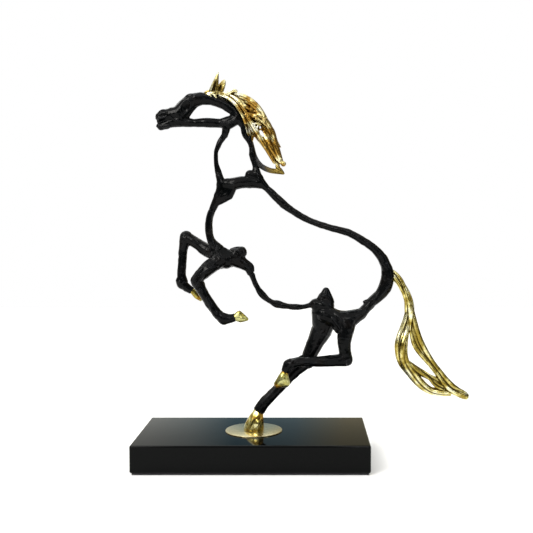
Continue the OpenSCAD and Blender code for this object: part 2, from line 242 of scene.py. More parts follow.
# An input that is given a node is linked to that node's first output; stops are those of a colour ramp
def addNode(tree, kind, inputs=None, stops=(), **settings):
    node = tree.nodes.new("ShaderNode" + kind)
    for name, value in settings.items():
        setattr(node, name, value)
    for socket, value in (inputs or {}).items():
        if isinstance(value, bpy.types.Node):
            value = value.outputs[0]
        if isinstance(value, bpy.types.NodeSocket):
            tree.links.new(value, node.inputs[socket])
        else:
            node.inputs[socket].default_value = value
    for i, (position, colour) in enumerate(stops):
        stop = node.color_ramp.elements[i] if i < 2 else node.color_ramp.elements.new(position)
        stop.position = position
        stop.color = paint(colour) if isinstance(colour, str) else (colour, colour, colour, 1)
    return node


def startMaterial(name):
    material = bpy.data.materials.new(name)
    material.use_nodes = True
    tree = material.node_tree
    tree.nodes.clear()
    return material, tree, addNode(tree, "TexCoord").outputs["Object"]


def endMaterial(material, tree, shader):
    addNode(tree, "OutputMaterial", {"Surface": shader})
    return material


# Cast bronze under a black liver-of-sulphur patina, waxed: near black and satin, a little brown and
# blue where the patina is thin, greyer on the crests as wear and painted highlight, with the soft dents of
# the worked wax
def blackPatina():
    material, tree, place = startMaterial("blackPatinaBronze")
    cloud = addNode(tree, "TexNoise", {"Vector": place, "Scale": 1 / (14 * mm), "Detail": 3})
    waxed = addNode(tree, "ValToRGB", {"Fac": cloud}, [
        (0.3, "#020303"), (0.5, "#060708"), (0.72, "#0d0b0a")])
    # Crests are painted greyer: partly patina worn through, partly a painted highlight
    crest = addNode(tree, "Attribute", attribute_name="crest").outputs["Fac"]
    wearAndPaintedHighlight = addNode(tree, "ValToRGB", {"Fac": crest}, [(0.6, 0.0), (0.95, 0.6)])
    colour = addNode(tree, "Mix", {"Factor": wearAndPaintedHighlight, 6: waxed, 7: paint("#1b1c1f")}, data_type="RGBA")
    polish = addNode(tree, "TexNoise", {"Vector": place, "Scale": 1 / (5 * mm), "Detail": 2})
    rubbed = addNode(tree, "ValToRGB", {"Fac": polish}, [(0.35, 0.14), (0.7, 0.26)])
    grain = addNode(tree, "TexNoise", {"Vector": place, "Scale": 1 / (0.9 * mm), "Detail": 2})
    dents = addNode(tree, "TexNoise", {"Vector": place, "Scale": 1 / (3.4 * mm), "Detail": 1})
    fine = addNode(tree, "Bump", {"Height": grain, "Strength": 0.02, "Distance": 0.25 * mm})
    bump = addNode(tree, "Bump", {"Height": dents, "Strength": 0.4, "Distance": 0.7 * mm, "Normal": fine})
    shader = addNode(tree, "BsdfPrincipled", {
        "Base Color": colour.outputs[2], "Roughness": rubbed, "IOR": 1.5, "Specular IOR Level": 0.085,
        "Normal": bump})
    return endMaterial(material, tree, shader)


# Gold plating over cast bronze, polished by hand: pale and creamy on the crests, olive and brown
# in the hollows, partly old lacquer left there and partly painted shade, and with lean darker towards the
# tail
def platedGold(name, light, middle, deep, hollow, haze, lean=0.0):
    material, tree, place = startMaterial(name)
    cloud = addNode(tree, "TexNoise", {"Vector": place, "Scale": 1 / (11 * mm), "Detail": 2})
    along = addNode(tree, "SeparateXYZ", {"Vector": place})
    zones = addNode(tree, "Math", {0: along, 1: -lean, 2: cloud}, operation="MULTIPLY_ADD")
    plate = addNode(tree, "ValToRGB", {"Fac": zones}, [(0.42, deep), (0.52, middle), (0.66, light)])
    crest = addNode(tree, "Attribute", attribute_name="crest").outputs["Fac"]
    # Hollows are painted towards the hollow colour: partly old lacquer, partly painted shade
    lacquerAndPaintedShade = addNode(tree, "ValToRGB", {"Fac": crest}, [(0.16, 1.0), (0.5, 0.0)])
    tone = addNode(tree, "Mix", {"Factor": lacquerAndPaintedShade, 6: plate, 7: paint(hollow)}, data_type="RGBA")
    polish = addNode(tree, "TexNoise", {"Vector": place, "Scale": 1 / (4 * mm), "Detail": 2})
    cloudy = addNode(tree, "ValToRGB", {"Fac": polish}, [(0.35, haze), (0.7, haze + 0.1)])
    bump = addNode(tree, "Bump", {"Height": polish, "Strength": 0.1, "Distance": 0.5 * mm})
    shader = addNode(tree, "BsdfPrincipled", {
        "Base Color": tone.outputs[2], "Metallic": 1.0, "Roughness": cloudy, "Normal": bump})
    return endMaterial(material, tree, shader)


# The lowest lock: gold plating worn back to black patina where it leaves the crest
def fadingGold(start, end):
    material, tree, place = startMaterial("goldFadingToPatina")
    along = addNode(tree, "SeparateXYZ", {"Vector": place})
    ragged = addNode(tree, "TexNoise", {"Vector": place, "Scale": 1 / (4 * mm), "Detail": 3})
    shifted = addNode(tree, "Math", {0: ragged, 1: 9 * mm, 2: along}, operation="MULTIPLY_ADD")
    gold = addNode(tree, "MapRange", {"Value": shifted, "From Min": start, "From Max": end})
    tone = addNode(tree, "Mix", {"Factor": gold, 6: paint("#0d0c0a"), 7: paint("#7a6832")},
                   data_type="RGBA")
    gloss = addNode(tree, "ValToRGB", {"Fac": gold}, [(0.0, 0.3), (1.0, 0.28)])
    shader = addNode(tree, "BsdfPrincipled", {
        "Base Color": tone.outputs[2], "Metallic": gold, "Roughness": gloss})
    return endMaterial(material, tree, shader)


# Absolute black granite, sold as black marble, sawn and polished to a gloss: black glass to the eye,
# with faint grey crystals and a slightly cloudy polish
def polishedStone():
    material, tree, place = startMaterial("polishedBlackGranite")
    crystals = addNode(tree, "TexVoronoi", {"Vector": place, "Scale": 1 / (1.6 * mm)})
    flecks = addNode(tree, "ValToRGB", {"Fac": crystals}, [(0.0, "#101113"), (0.16, "#030404")])
    clouds = addNode(tree, "TexNoise", {"Vector": place, "Scale": 1 / (30 * mm), "Detail": 4})
    polish = addNode(tree, "ValToRGB", {"Fac": clouds}, [(0.3, 0.05), (0.75, 0.12)])
    bump = addNode(tree, "Bump", {"Height": clouds, "Strength": 0.03, "Distance": 1 * mm})
    shader = addNode(tree, "BsdfPrincipled", {
        "Base Color": flecks, "Roughness": polish, "IOR": 1.5, "Specular IOR Level": 0.08, "Normal": bump})
    return endMaterial(material, tree, shader)


# Rolled brass sheet, brushed along the block and lacquered: pale champagne satin with fine lines
def brushedBrass():
    material, tree, place = startMaterial("brushedLacqueredBrass")
    stretched = addNode(tree, "Mapping", {"Vector": place, "Scale": (0.02, 1, 1)})
    lines = addNode(tree, "TexNoise", {       # brush lines are 0.1 mm, drawn five times as wide
        "Vector": stretched, "Scale": 1 / (0.5 * mm), "Detail": 3, "Roughness": 0.6})
    tone = addNode(tree, "ValToRGB", {"Fac": lines}, [(0.3, "#b8a778"), (0.7, "#c9bb8e")])
    rub = addNode(tree, "ValToRGB", {"Fac": lines}, [(0.3, 0.24), (0.7, 0.3)])
    bump = addNode(tree, "Bump", {"Height": lines, "Strength": 0.05, "Distance": 0.04 * mm})
    shader = addNode(tree, "BsdfPrincipled", {
        "Base Color": tone, "Metallic": 1.0, "Roughness": rub, "Coat Weight": 0.3, "Coat Roughness": 0.15,
        "Normal": bump})
    return endMaterial(material, tree, shader)


# Closed-cell foam, sliced from a block: matt dark grey with fine cut cells
def slicedFoam():
    material, tree, place = startMaterial("closedCellFoam")
    cells = addNode(tree, "TexVoronoi", {"Vector": place, "Scale": 1 / (0.6 * mm)})
    tone = addNode(tree, "ValToRGB", {"Fac": cells}, [(0.1, "#1c1c1f"), (0.6, "#2b2b2e")])
    bump = addNode(tree, "Bump", {"Height": cells, "Strength": 0.4, "Distance": 0.2 * mm})
    shader = addNode(tree, "BsdfPrincipled", {"Base Color": tone, "Roughness": 0.9, "Normal": bump})
    return endMaterial(material, tree, shader)


# Zinc-plated steel: pale bluish grey, satin, slightly mottled by the plating bath
def zincSteel():
    material, tree, place = startMaterial("zincPlatedSteel")
    mottle = addNode(tree, "TexNoise", {"Vector": place, "Scale": 1 / (2 * mm), "Detail": 3})
    tone = addNode(tree, "ValToRGB", {"Fac": mottle}, [(0.3, "#a9aeb4"), (0.7, "#c9ccd0")])
    rub = addNode(tree, "ValToRGB", {"Fac": mottle}, [(0.3, 0.25), (0.7, 0.42)])
    shader = addNode(tree, "BsdfPrincipled", {"Base Color": tone, "Metallic": 1.0, "Roughness": rub})
    return endMaterial(material, tree, shader)


patina = blackPatina()
# The fourth colour of each gold is the painted shade in its hollows, together with old lacquer
maneGold = platedGold("polishedGoldMane", "#f8f4dc", "#d8cb8e", "#967330", "#402a08", 0.25, 2.6)
earGold = platedGold("polishedGoldEars", "#eee9c0", "#b3a263", "#7a652c", "#3b2c0c", 0.24)
tailGold = platedGold("polishedGoldTail", "#f6f2cc", "#d2c57a", "#978439", "#453811", 0.22)
hoofGold = platedGold("polishedGoldStandingHoof", "#f0ecb8", "#cfc06c", "#a07c30", "#54400f", 0.16)
raisedGold = platedGold("polishedGoldRaisedHoof", "#b5b378", "#9b9349", "#84621f", "#4a370d", 0.24)
stone = polishedStone()
brass = brushedBrass()
foam = slicedFoam()
zinc = zincSteel()
print("materials made")


def hand(piece, node, material):
    piece.data.materials.clear()
    piece.data.materials.append(material)
    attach(piece, "root")
    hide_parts(node)
    return piece


blackNodes = ["head", "throat_strand", "crest_strand", "shoulder_bridge", "chest_strand", "elbow_hub",
              "belly_strand", "back_strand", "croup", "haunch", "left_foreleg", "right_foreleg",
              "left_hind_leg", "right_hind_leg"]
skin = {"voxel": 0.55 * mm, "smoothing": 5, "rippleSize": 7 * mm, "rippleDepth": 0.6 * mm,
        "rippleLevel": 0.62, "sharp": 50, "seed": 11}
# How a strip of clay lies: tries for each, gap to the next in widths, reach of form that gives its
# grain, sway off the grain in degrees, spread of lengths and widths, fullness and sinking in heights,
# and how far its tips, at this share of its length, may stand off
laying = {"tries": 40, "gap": 0.75, "reach": 13 * mm, "sway": 9, "lengths": (0.7, 1.0),
          "widths": (0.8, 1.2), "full": 3.2, "sunk": 0.6, "tip": 0.45, "lift": 1.1 * mm}
# How the skin is cut at a joint: reach in rings and past them, and depths that change hands or lie flat
seam = {"look": 8 * mm, "reach": 1.3, "past": 2 * mm, "hands": 3 * mm, "rimPast": 2.5 * mm,
        "flat": 1.2 * mm}
# Strips of clay on each casting: how many, length, width and height in mm, and turn off the grain
clay = {
    "head": (12, 9, 3.2, 0.35, 8), "throat_strand": (6, 13, 2.2, 0.35, 8),
    "crest_strand": (8, 9, 2.4, 0.4, 12), "shoulder_bridge": (16, 10, 3.6, 0.6, 10),
    "elbow_hub": (12, 12, 3.8, 0.5, 12), "back_strand": (20, 10, 2.4, 0.4, 12),
    "croup": (12, 15, 3.6, 0.5, 8), "haunch": (20, 13, 3.8, 0.6, 12),
    "left_foreleg": (18, 11, 3.4, 0.5, 10), "right_foreleg": (10, 12, 3.4, 0.35, 6),
    "left_hind_leg": (20, 12, 3.2, 0.55, 10), "right_hind_leg": (14, 14, 3.6, 0.45, 8)}
# Wax laid all over each core before the clay, in mm
wax = {"head": 0.5, "throat_strand": 0.05, "crest_strand": 0.85, "shoulder_bridge": 0.5,
       "chest_strand": 0.8, "elbow_hub": 0.5, "belly_strand": 0.8, "back_strand": 1.1, "croup": 0.95,
       "haunch": 0.5, "left_foreleg": 0.95, "right_foreleg": 1.0, "left_hind_leg": 0.5,
       "right_hind_leg": 0.9}
# Ridges laid on both faces, as lines of x, z and radius in mm
ridges = [
    [(-99, 358.6, 1.2), (-94, 358.8, 1.8), (-88, 360.5, 1.0)],   # upper lip
    [(-98, 351.4, 1.2), (-92, 350, 1.9), (-86, 352, 1.2)],   # lower lip
    [(-98.5, 362.5, 0.9), (-95.5, 366, 1.5), (-91, 366.5, 1.3), (-87.5, 363.5, 0.8)],   # nostril
    [(-86, 361, 0.8), (-80, 357, 1.4), (-73, 355.5, 1.3), (-66, 354, 0.7)],   # cheek
    [(-72, 376, 0.8), (-67, 381.5, 1.7), (-62, 382, 1.9), (-57, 379.5, 1.0)],   # brow
    [(-61, 379, 0.8), (-53, 381, 1.5), (-45, 380, 0.9)],
    [(-33, 354, 0.8), (-25, 353, 1.8), (-19, 356, 1.6), (-16, 361, 0.8)],   # throat latch
    [(-45.2, 264, 1.2), (-47.8, 254, 1.6), (-48.3, 243, 1.7), (-47.3, 235, 1.6), (-45, 228, 1.4),
     (-43, 220, 1.1)],
    [(-41.7, 264, 1.2), (-44.2, 254, 1.5), (-44.8, 243, 1.5), (-43.2, 235, 1.6), (-40, 226, 1.7),
     (-36.5, 218, 1.6), (-32, 213.5, 1.5), (-28, 213, 0.9)],   # chest to elbow
    [(-38, 214, 0.9), (-44, 212, 1.9), (-50, 208, 1.8), (-56, 201.5, 0.8)],   # near arm
    [(-35, 206, 1.0), (-42, 204.5, 1.9), (-49, 200, 2.1), (-55, 194, 1.0)],
    [(-49, 205, 0.8), (-54, 200.5, 2.0), (-58.5, 194.5, 1.8), (-61, 189, 0.8)],
    [(-46, 200, 0.8), (-51, 196, 1.9), (-55.5, 190.5, 1.9), (-58, 185, 0.8)],
    [(-56, 183, 1.2), (-54, 181.5, 1.9), (-52, 180, 1.2)],
    [(-48, 173, 0.9), (-44, 166, 1.8), (-41, 158, 1.7), (-37, 152.5, 0.9)],
    [(-26, 221, 1.2), (-18, 221.5, 2.2), (-13, 219, 1.2)],   # elbow knuckle
    [(-12, 208, 1.0), (-6, 204, 2.0), (-2, 199, 1.0)],
    [(72, 173, 0.8), (75.5, 175, 1.7), (79, 171, 1.6), (82, 167, 0.8)],   # stifle
    [(70, 168, 0.8), (74, 166.5, 1.5), (79, 163, 1.3), (83, 158, 0.7)],
    [(84, 158, 0.8), (88, 154, 1.8), (93, 148, 1.8), (97, 143, 0.8)],   # haunch
    [(82, 152, 0.8), (86, 148, 1.8), (90.5, 142, 1.8), (93, 137, 0.8)],
    [(90, 157, 0.8), (98, 156.5, 1.8), (107, 158, 1.7), (114, 159, 0.8)],
    [(100, 152, 0.8), (106, 152.5, 1.6), (112, 155, 1.4), (118, 159, 0.7)],
    [(141.5, 186, 0.8), (136, 177, 1.3), (129, 169, 1.3), (121, 160, 0.7)],   # croup crease
    [(94, 112, 0.9), (87, 109, 1.9), (78, 108.5, 1.6), (70, 108.5, 0.8)],   # near cannon
    [(74, 105, 0.8), (64, 105.5, 1.7), (54, 106, 1.6), (46, 105.5, 0.8)],
    [(60, 109, 0.8), (50, 109.3, 1.5), (42, 107.5, 1.3), (38, 103, 0.8)],
    [(43, 102.5, 0.9), (39, 98.5, 1.7), (36, 93.5, 0.8)],
    [(26, 79, 0.8), (20, 72, 1.8), (13, 65, 1.6), (9, 60, 0.8)],   # standing cannon
]
# Lumps and ridges away from the two faces, as lines of x, y, z and radius in mm
lumps = [
    [(115.5, 0, 166.2, 1.6), (118, 0, 167.4, 2.4), (121, 0, 167.5, 2.6), (124, 0, 169, 2)],   # inner knob
    [(-100, 0, 357.5, 1.6), (-98.5, 0, 362, 2.2), (-95.5, 0, 365.2, 2.2), (-91, 0, 367, 1.6)],  # nose
    [(-100, 0, 358.6, 2.0), (-96, 0, 358.8, 2.6), (-91, 0, 360, 2.6)],   # upper lip
    [(-99.6, 0, 352.4, 2.6), (-95.5, 0, 350.4, 3.3), (-89.5, 0, 350.8, 3.3),
     (-84, 0, 353, 2.6)],   # lower lip
    [(-70, 0, 378.5, 1.6), (-65.5, 0, 382, 2.4), (-61, 0, 382.2, 2.0)],   # brow
    [(-68.5, 0, 360, 2.2), (-65.4, 0, 365, 2.8), (-62.2, 0, 369.2, 2.7), (-57.5, 0, 373, 2.2),
     (-52, 0, 375.6, 1.6)],   # cheek
    [(-100, 0, 355.6, 1.5), (-96, 0, 355.8, 2.0), (-91, 0, 356, 2.2)],   # between the lips
    [(-24, 0, 221.5, 2.0), (-17, 0, 223, 2.8), (-12.6, 0, 222.3, 2.6), (-11, 0, 217, 2.6),
     (-10, 0, 212.3, 2.6), (-5, 0, 208, 2.6), (-1.4, 0, 204.4, 2.4), (-0.9, 0, 199, 2.5)],   # elbow
    [(-45, -6, 202, 2.4), (-38, -4.5, 204.4, 3.2), (-30, -2, 205.3, 3.2), (-22, 0, 206.6, 3.0)],   # armpit
    [(-76.4, 12, 212, 3.4), (-77.4, 12, 204, 4.0), (-77.9, 12, 197, 4.3),
     (-76.4, 12, 188, 4.6)],   # far shin
    [(-3.4, 0, 341, 2.0), (-2.7, 0, 334, 2.8), (-0.8, 0, 327, 2.9), (0.4, 0, 320, 3.1),
     (1.2, 0, 314, 3.3)],   # crest
    [(-31.6, 0, 342, 1.4), (-34.8, 0, 335.6, 2.0), (-37.8, 0, 327, 2.4), (-38.6, 0, 320, 2.5),
     (-38.2, 0, 313, 2.5), (-36.4, 0, 306.5, 2.6), (-33.8, 0, 300.5, 2.5),
     (-31.5, 0, 296, 1.8)]]   # throat
belly = [(-1.5, 0, 196, 3.1), (1, 0, 189, 3.1), (5.5, 0, 180, 3.2), (12.5, 0, 171.7, 3.3),
         (20.5, 0, 166.4, 3.4), (28, 0, 164.2, 3.8), (35, 0, 162.8, 3.4), (42, 0, 161.8, 3.0),
         (51, 0, 162, 2.9), (58.5, 0, 163.4, 3.0)]
bellyTwist = {"count": 2, "turns": 1.9, "seed": 4, "spread": 0.5, "thick": 0.78}
# Hollows scooped out of the head: centre, size and turn about the Y axis, on both sides
hollows = [((-68.5, 10.2, 369), (5.2, 5.4, 8.5), 18), ((-93.5, 6.0, 361.6), (4.2, 2.0, 1.5), -8),
           ((-83, 9.2, 366), (6, 2.2, 3.4), -22)]

castings = {node: nodeCopy(node, node + "Form") for node in blackNodes}


# Joints are where two castings share a ring of corners
def findJoints():
    corners = {node: {tuple(round(c / mm, 2) for c in v.co) for v in piece.data.vertices}
               for node, piece in castings.items()}
    joints = []
    for a, b in itertools.combinations(blackNodes, 2):
        ring = np.array(sorted(corners[a] & corners[b])) * mm
        if len(ring) < 5:
            continue
        centre = ring.mean(axis=0)
        normal = np.linalg.svd(ring - centre, full_matrices=False)[2][2]
        reach = np.linalg.norm(ring - centre, axis=1).max()
        own = np.array([v.co for v in castings[a].data.vertices])
        own = own[np.linalg.norm(own - centre, axis=1) < reach + seam["look"]]
        if ((own - centre) @ normal).mean() > 0:
            normal = -normal            # points from a to b
        joints.append((blackNodes.index(a), blackNodes.index(b), centre, normal, reach))
        print("joint", a, b, len(ring), (centre / mm).round(1), round(reach / mm, 2))
    return joints


joints = findJoints()
for node, casting in castings.items():
    modify(casting, "DISPLACE", strength=wax[node] * mm, mid_level=0)
formTree, formOwners = treeOf(castings.values())


def scoop(place, size, turn):
    bpy.ops.mesh.primitive_uv_sphere_add(segments=24, ring_count=16, radius=mm)
    cutter = onAll(bpy.context.object, bpy.ops.transform.resize, value=size)
    cutter.rotation_euler = (0, math.radians(turn), 0)
    cutter.location = Vector(place) * mm
    return settle(cutter)


for (x, y, z), size, turn in hollows:
    for face in (-1, 1):
        cut(castings["head"], scoop((x, face * y, z), size, turn))


# A rod between two corners of a box, to cut with or to shape
def rod(sides, radius, low, high):
    bpy.ops.object.select_all(action="DESELECT")
    bpy.ops.mesh.primitive_cylinder_add(vertices=sides, radius=radius, depth=high.z - low.z,
                                        location=(low + high) / 2)
    return settle(bpy.context.object)


def ball(x, y, z, radius):
    bpy.ops.object.select_all(action="DESELECT")
    bpy.ops.mesh.primitive_uv_sphere_add(segments=20, ring_count=14, radius=radius * mm,
                                         location=(x * mm, y * mm, z * mm))
    return settle(bpy.context.object)


# One strip of clay, a long leaf with thin ends, a unit long, wide and high
bpy.ops.mesh.primitive_uv_sphere_add(segments=8, ring_count=8, radius=0.5, rotation=(0, math.pi / 2, 0))
strip = settle(bpy.context.object)
for corner in strip.data.vertices:
    slim = 1 - 0.55 * abs(2 * corner.co.x) ** 2
    corner.co.y *= slim
    corner.co.z *= slim


def clayOn(casting, node):
    count, length, width, height, turn = clay[node]
    dice = random.Random(skin["seed"] + blackNodes.index(node))
    mesh = casting.data
    corners = np.array([v.co for v in mesh.vertices])
    weights = list(itertools.accumulate(f.area for f in mesh.polygons))
    placed, strips, tries = [], [], 0
    while len(strips) < count and tries < laying["tries"] * count:
        tries += 1
        face = mesh.polygons[min(np.searchsorted(weights, dice.random() * weights[-1]), len(weights) - 1)]
        ends = [mesh.vertices[i].co for i in face.vertices]
        shares = [dice.random() + 0.05 for end in ends]
        place = sum((end * share for end, share in zip(ends, shares)), Vector()) / sum(shares)
        if any((place - other).length < laying["gap"] * width * mm for other in placed):
            continue
        near = corners[np.linalg.norm(corners - np.array(place), axis=1) < laying["reach"]]
        if len(near) < 6:
            continue
        grain = Vector(np.linalg.svd(near - near.mean(axis=0), full_matrices=False)[2][0])
        normal = face.normal.copy()
        along = grain - grain.project(normal)
        if along.length < 0.6:          # an end cap
            continue
        sway = dice.uniform(-laying["sway"], laying["sway"])
        along.rotate(Matrix.Rotation(math.radians(turn + sway), 3, normal))
        along.normalize()
        tips = [place + along * side * length * laying["tip"] * mm for side in (-1, 1)]
        if max(formTree.find_nearest(tip)[3] for tip in tips) > laying["lift"]:
            continue
        placed.append(place)
        across = normal.cross(along)
        grow = dice.uniform(*laying["lengths"])
        basis = Matrix((along * length * grow, across * width * dice.uniform(*laying["widths"]),
                        normal * height * laying["full"])).transposed() * mm
        seat = Matrix.Translation(place - normal * height * laying["sunk"] * mm)
        strips.append(meshCopy(strip, "strip", seat @ basis.to_4x4()))
    return strips


strips = [s for node in blackNodes if node in clay for s in clayOn(castings[node], node)]
print(len(strips), "strips of clay laid")
remove(strip)

laid = [laidOn(formTree, line, face) for line in ridges for face in (-1, 1)]
forms = [meshCopy(piece, "form", Matrix()) for piece in castings.values()]
horse = joined("horseSkin", forms + strips + [
    cords("ridges", laid + [smoothLine(line) for line in lumps] + bundle(belly, **bellyTwist))])
voxelSkin(horse, skin["voxel"], skin["smoothing"])
ripple(horse, skin["rippleSize"], skin["rippleDepth"], skin["rippleLevel"])
print("black skin", len(horse.data.polygons), "faces")


def cutAtJoints(piece, joints):
    mesh = piece.data
    centres = np.empty(len(mesh.polygons) * 3)
    mesh.polygons.foreach_get("center", centres)
    centres = centres.reshape(-1, 3)
    names = [piece.name for piece in castings.values()]
    owner = np.array([names.index(formOwners[formTree.find_nearest(Vector(c))[2]]) for c in centres])
    for a, b, centre, normal, reach in joints:
        height = (centres - centre) @ normal
        near = np.linalg.norm(centres - centre, axis=1) < seam["reach"] * reach + seam["past"]
        near &= np.isin(owner, (a, b)) & (abs(height) < seam["hands"])
        owner[near & (height < 0)] = a
        owner[near & (height >= 0)] = b
    loops = np.empty(len(mesh.loops), dtype=int)
    mesh.loops.foreach_get("vertex_index", loops)
    totals = np.empty(len(mesh.polygons), dtype=int)
    mesh.polygons.foreach_get("loop_total", totals)
    low = np.full(len(mesh.vertices), len(blackNodes))
    high = np.full(len(mesh.vertices), -1)
    np.minimum.at(low, loops, np.repeat(owner, totals))
    np.maximum.at(high, loops, np.repeat(owner, totals))
    corners = np.empty(len(mesh.vertices) * 3)
    mesh.vertices.foreach_get("co", corners)
    corners = corners.reshape(-1, 3)
    for a, b, centre, normal, reach in joints:      # the cut edge is drawn flat
        height = (corners - centre) @ normal
        rim = (low == a) & (high == b) & (abs(height) < seam["flat"])
        rim &= np.linalg.norm(corners - centre, axis=1) < seam["reach"] * reach + seam["rimPast"]
        corners[rim] -= np.outer(height[rim], normal)
    mesh.vertices.foreach_set("co", corners.ravel())
    mesh.materials.clear()
    for node in blackNodes:
        mesh.materials.append(bpy.data.materials.new("part_" + node))
    mesh.polygons.foreach_set("material_index", owner)
    mesh.update()
    pick(piece)
    bpy.ops.object.mode_set(mode="EDIT")
    bpy.ops.mesh.separate(type="MATERIAL")
    bpy.ops.object.mode_set(mode="OBJECT")
    parts = [p for p in bpy.context.selected_objects if p.type == "MESH"]
    return {p.data.materials[p.data.polygons[0].material_index].name[5:]: p for p in parts}


# Closes the cut ends; where a cut edge touches itself, its corners go first and the wider hole is closed
def closeEnds(piece):
    pick(piece)
    for attempt in range(6):
        bpy.ops.object.mode_set(mode="EDIT")
        bpy.ops.mesh.select_mode(type="VERT")
        bpy.ops.mesh.select_all(action="SELECT")
        bpy.ops.mesh.fill_holes(sides=0)
        bpy.ops.mesh.select_all(action="DESELECT")
        bpy.ops.mesh.select_non_manifold()
        bpy.ops.object.mode_set(mode="OBJECT")
        if not any(corner.select for corner in piece.data.vertices):
            break
        bpy.ops.object.mode_set(mode="EDIT")
        bpy.ops.mesh.delete(type="VERT")
        bpy.ops.object.mode_set(mode="OBJECT")


# Keeps the largest body of a piece and drops the crumbs that a cut leaves
def dropCrumbs(piece):
    onAll(piece, bpy.ops.mesh.separate, type="LOOSE")
    pieces = sorted(bpy.context.selected_objects, key=lambda p: len(p.data.vertices))
    for crumb in pieces[:-1]:
        remove(crumb)
    return pieces[-1]


parts = {node: dropCrumbs(part) for node, part in cutAtJoints(horse, joints).items()}
for node, part in parts.items():
    closeEnds(part)
    part.name = part.data.name = node + "_casting"
    smoothShade(markCrests(part), skin["sharp"])
    hand(part, node, patina)
for piece in castings.values():
    remove(piece)
for label in [m for m in bpy.data.materials if m.name.startswith("part_")]:
    bpy.data.materials.remove(label)
print("black castings cut:", len(parts))

# Locks of the mane on both faces, as lines of x, z and radius in mm
maneFaces = [
    [(-37, 383.4, 1.2), (-27.3, 380.3, 1.8), (-19.9, 375, 1.9), (-13.9, 367.6, 1.8), (-9.8, 360, 1.7),
     (-7.4, 352.4, 1.4)],
    [(-33.3, 385.4, 1.2), (-24.4, 382.6, 1.9), (-16.2, 377.6, 2.2), (-10.4, 370, 2.1), (-4.8, 361.5, 1.7),
     (-1.4, 353.5, 1.3)],
    [(-18.4, 380, 1.2), (-10.2, 374.5, 2.1), (-2.8, 369.2, 2.4), (4.6, 364.2, 2.1), (10, 358.6, 1.2)],
    [(-7.4, 362.5, 1.2), (-1, 353.4, 2.3), (5, 344, 2.8), (10.8, 333.6, 2.8), (16.8, 323, 2.4),
     (22.6, 312.5, 1.7)],
    [(-6.4, 363.2, 1.2), (-1, 361.4, 3.0), (5, 359, 3.6), (10.6, 355.6, 2.6), (13.6, 351, 1.2)],
    [(-21, 381.4, 1.4), (-13, 379.6, 3.0), (-5, 376, 3.8), (2.8, 370.8, 3.8), (9, 364, 2.8),
     (12.4, 358, 1.4)],
    [(9.1, 361.2, 1.2), (14.8, 352.6, 2.8), (19.5, 344.2, 3.3), (22, 335, 3.2), (25, 325.5, 2.8),
     (28.8, 316, 1.9)],
    [(10.6, 346, 1.2), (14, 337.4, 2.3), (18.6, 328.6, 2.7), (23.4, 320.4, 2.6), (27.4, 313.8, 1.8)]]
# Locks that make the mane's outline, as lines of x, y, z and radius in mm
maneRims = [
    [(-36, 0, 380, 1.4), (-30, 0, 379.2, 2.1), (-24, 0, 376, 2.3), (-18, 0, 371, 2.3), (-13.5, 0, 365, 2.2),
     (-10.5, 0, 358, 2.1), (-8, 0, 350, 2.0), (-5.2, 0, 342, 1.7), (-2.4, 0, 335.5, 1.4)],
    [(-3.5, 0, 359, 1.6), (-1.2, 0, 352, 1.8), (0, 0, 345, 1.6), (-0.2, 0, 339, 1.3), (-1, 0, 334.5, 1.1)],
    [(-14, 0, 373, 2.4), (-7, 0, 368.6, 3.2), (0, 0, 363.5, 3.2), (5, 0, 357.5, 3.2), (7.4, 0, 351.2, 2.3)],
    [(-6.2, 0, 357, 1.8), (-4.2, 0, 350.5, 1.9), (-3.1, 0, 344.5, 1.7), (-1.8, 0, 338.5, 1.3)],
    [(-3, 0, 354, 0.9), (1.5, 0, 346, 2.0), (6, 0, 338.5, 2.2), (11, 0, 332, 2.2), (16.5, 0, 323.3, 2.0),
     (22, 0, 314.8, 1.6), (26.5, 0, 308.5, 0.8)],
    [(-31, 0, 384.5, 0.9), (-24, 0, 384.8, 1.9), (-16, 0, 383, 2.5), (-8, 0, 380.5, 3.0),
     (-0.5, 0, 375.5, 3.4), (6, 0, 369, 3.3), (11, 0, 361.5, 3.0), (15, 0, 353.5, 2.6), (18, 0, 346, 1.6)],
    [(10, 0, 363, 1.0), (14.5, 0, 356, 2.6), (18, 0, 348.5, 3.1), (20.5, 0, 340.5, 3.2),
     (22.5, 0, 332, 3.0), (25.5, 0, 324, 2.6), (28.5, 0, 317, 2.0), (31.5, 0, 312, 1.5)],
    [(17, 0, 354, 0.8), (21, 0, 346, 2.0), (23, 0, 338, 2.4), (25.3, 0, 330, 2.4), (28, 0, 321.5, 2.0),
     (30.8, 0, 314, 1.2)],
    [(-26, -3, 383.5, 2.0), (-22, -3.5, 386.4, 2.3), (-18.5, -3.5, 387.2, 2.0), (-15.6, -3, 385.6, 1.2)],
    [(-11, 3, 381.5, 1.4), (-6.5, 3.5, 381.4, 1.1), (-2.6, 3.5, 381.6, 0.4)],
    [(7, -3, 363.5, 1.7), (11.5, -4.5, 361, 1.4), (15.5, -5, 358.3, 0.5)],
    [(20, 3, 341, 1.6), (25, 4, 335, 1.4), (29.3, 4.5, 328.8, 0.5)],
    [(26, -1, 317, 2.2), (29, -1.2, 313.8, 2.4), (31, -1.2, 312, 2.0)],
    [(22, 0, 316, 1.6), (25.5, 0, 311.5, 1.9), (27.6, 0, 307.4, 1.4)]]
maneBall = (31.9, -1.2, 311.6, 2.9)
maneCurl = {"place": (3.8, 351), "ring": 2.2, "cord": 0.9, "proud": 1.2}   # a small ring on each face
maneWindow = {"place": (9.4, 0, 343.0), "size": (1.9, 14, 4.3), "turn": -32}
maneSkin = {"voxel": 0.42 * mm, "coreVoxel": 0.8 * mm, "core": 1.5 * mm, "smoothing": 11, "sway": 0.5,
            "sink": 0.45, "seed": 5}


def shrunkCore(node, voxel, depth):
    core = nodeCopy(node, node + "Core")
    modify(core, "REMESH", mode="VOXEL", voxel_size=voxel)
    return modify(core, "DISPLACE", strength=-depth, mid_level=0)


